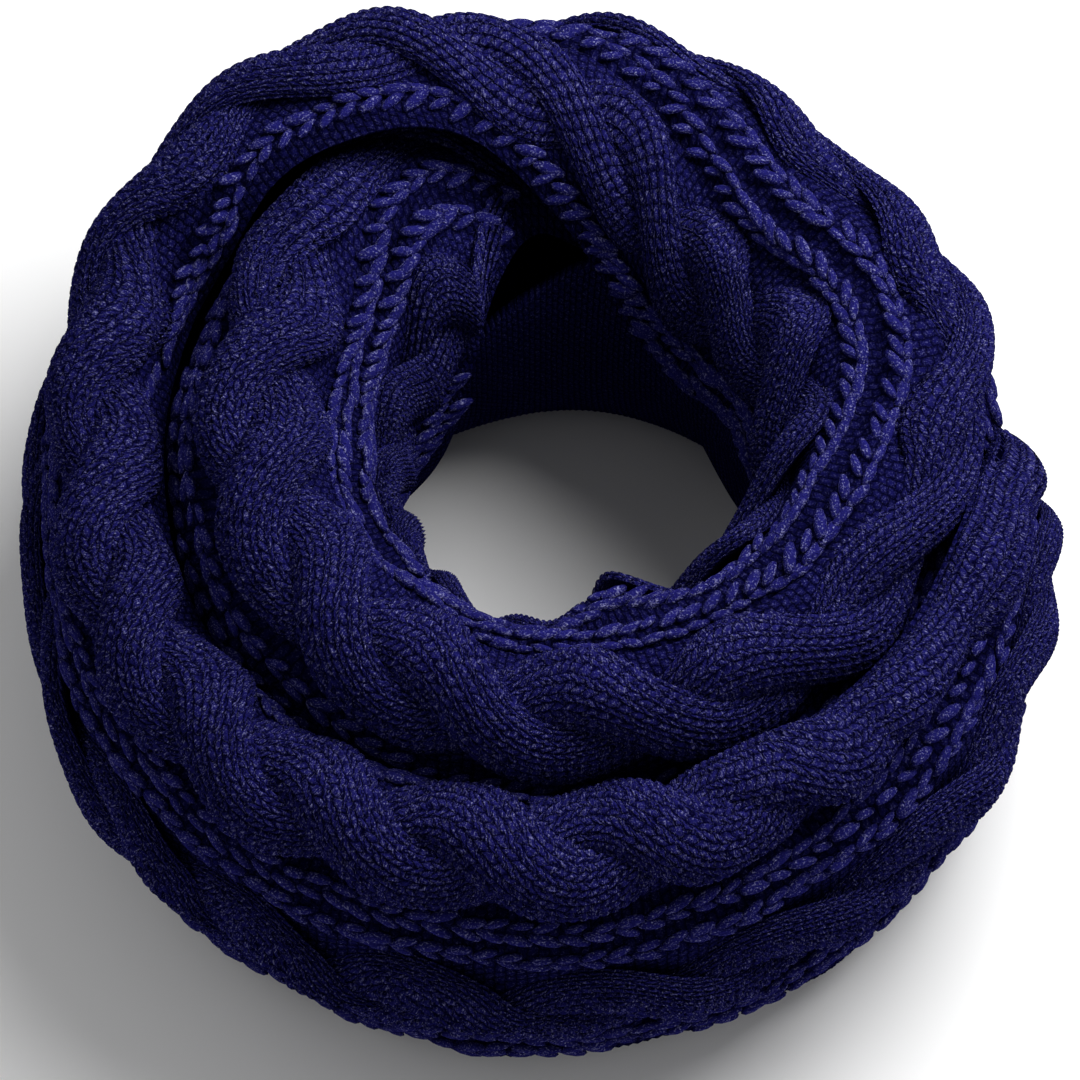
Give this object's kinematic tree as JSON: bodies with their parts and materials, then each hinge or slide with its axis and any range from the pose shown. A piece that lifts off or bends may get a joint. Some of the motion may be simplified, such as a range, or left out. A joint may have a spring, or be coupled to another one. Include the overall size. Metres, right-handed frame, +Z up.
{
  "type": "cable knit infinity scarf",
  "caption": "Chunky cable knit infinity scarf, a closed loop wound twice into a standing ring with crossing layers and an open middle.",
  "frame": {"origin": "on the table, under the middle of the ring's outline", "axes": "+Z up through the ring's open middle; -Y is the front, where the outer turn lies lowest; +Y is the back, where the band crosses over"},
  "size_m": [0.3434, 0.3414, 0.1912],
  "materials": {
    "navy_yarn": "matte, softly fuzzy plied acrylic yarn",
    "inner_navy_yarn": "matte, in the shade between the layers"
  },
  "bodies": {
    "root": {"inner_stretch": "navy_yarn", "top_stretch": "navy_yarn", "outer_stretch": "navy_yarn", "hole_stretch": "navy_yarn", "hidden_layers": "inner_navy_yarn"}
  },
  "joints": []
}
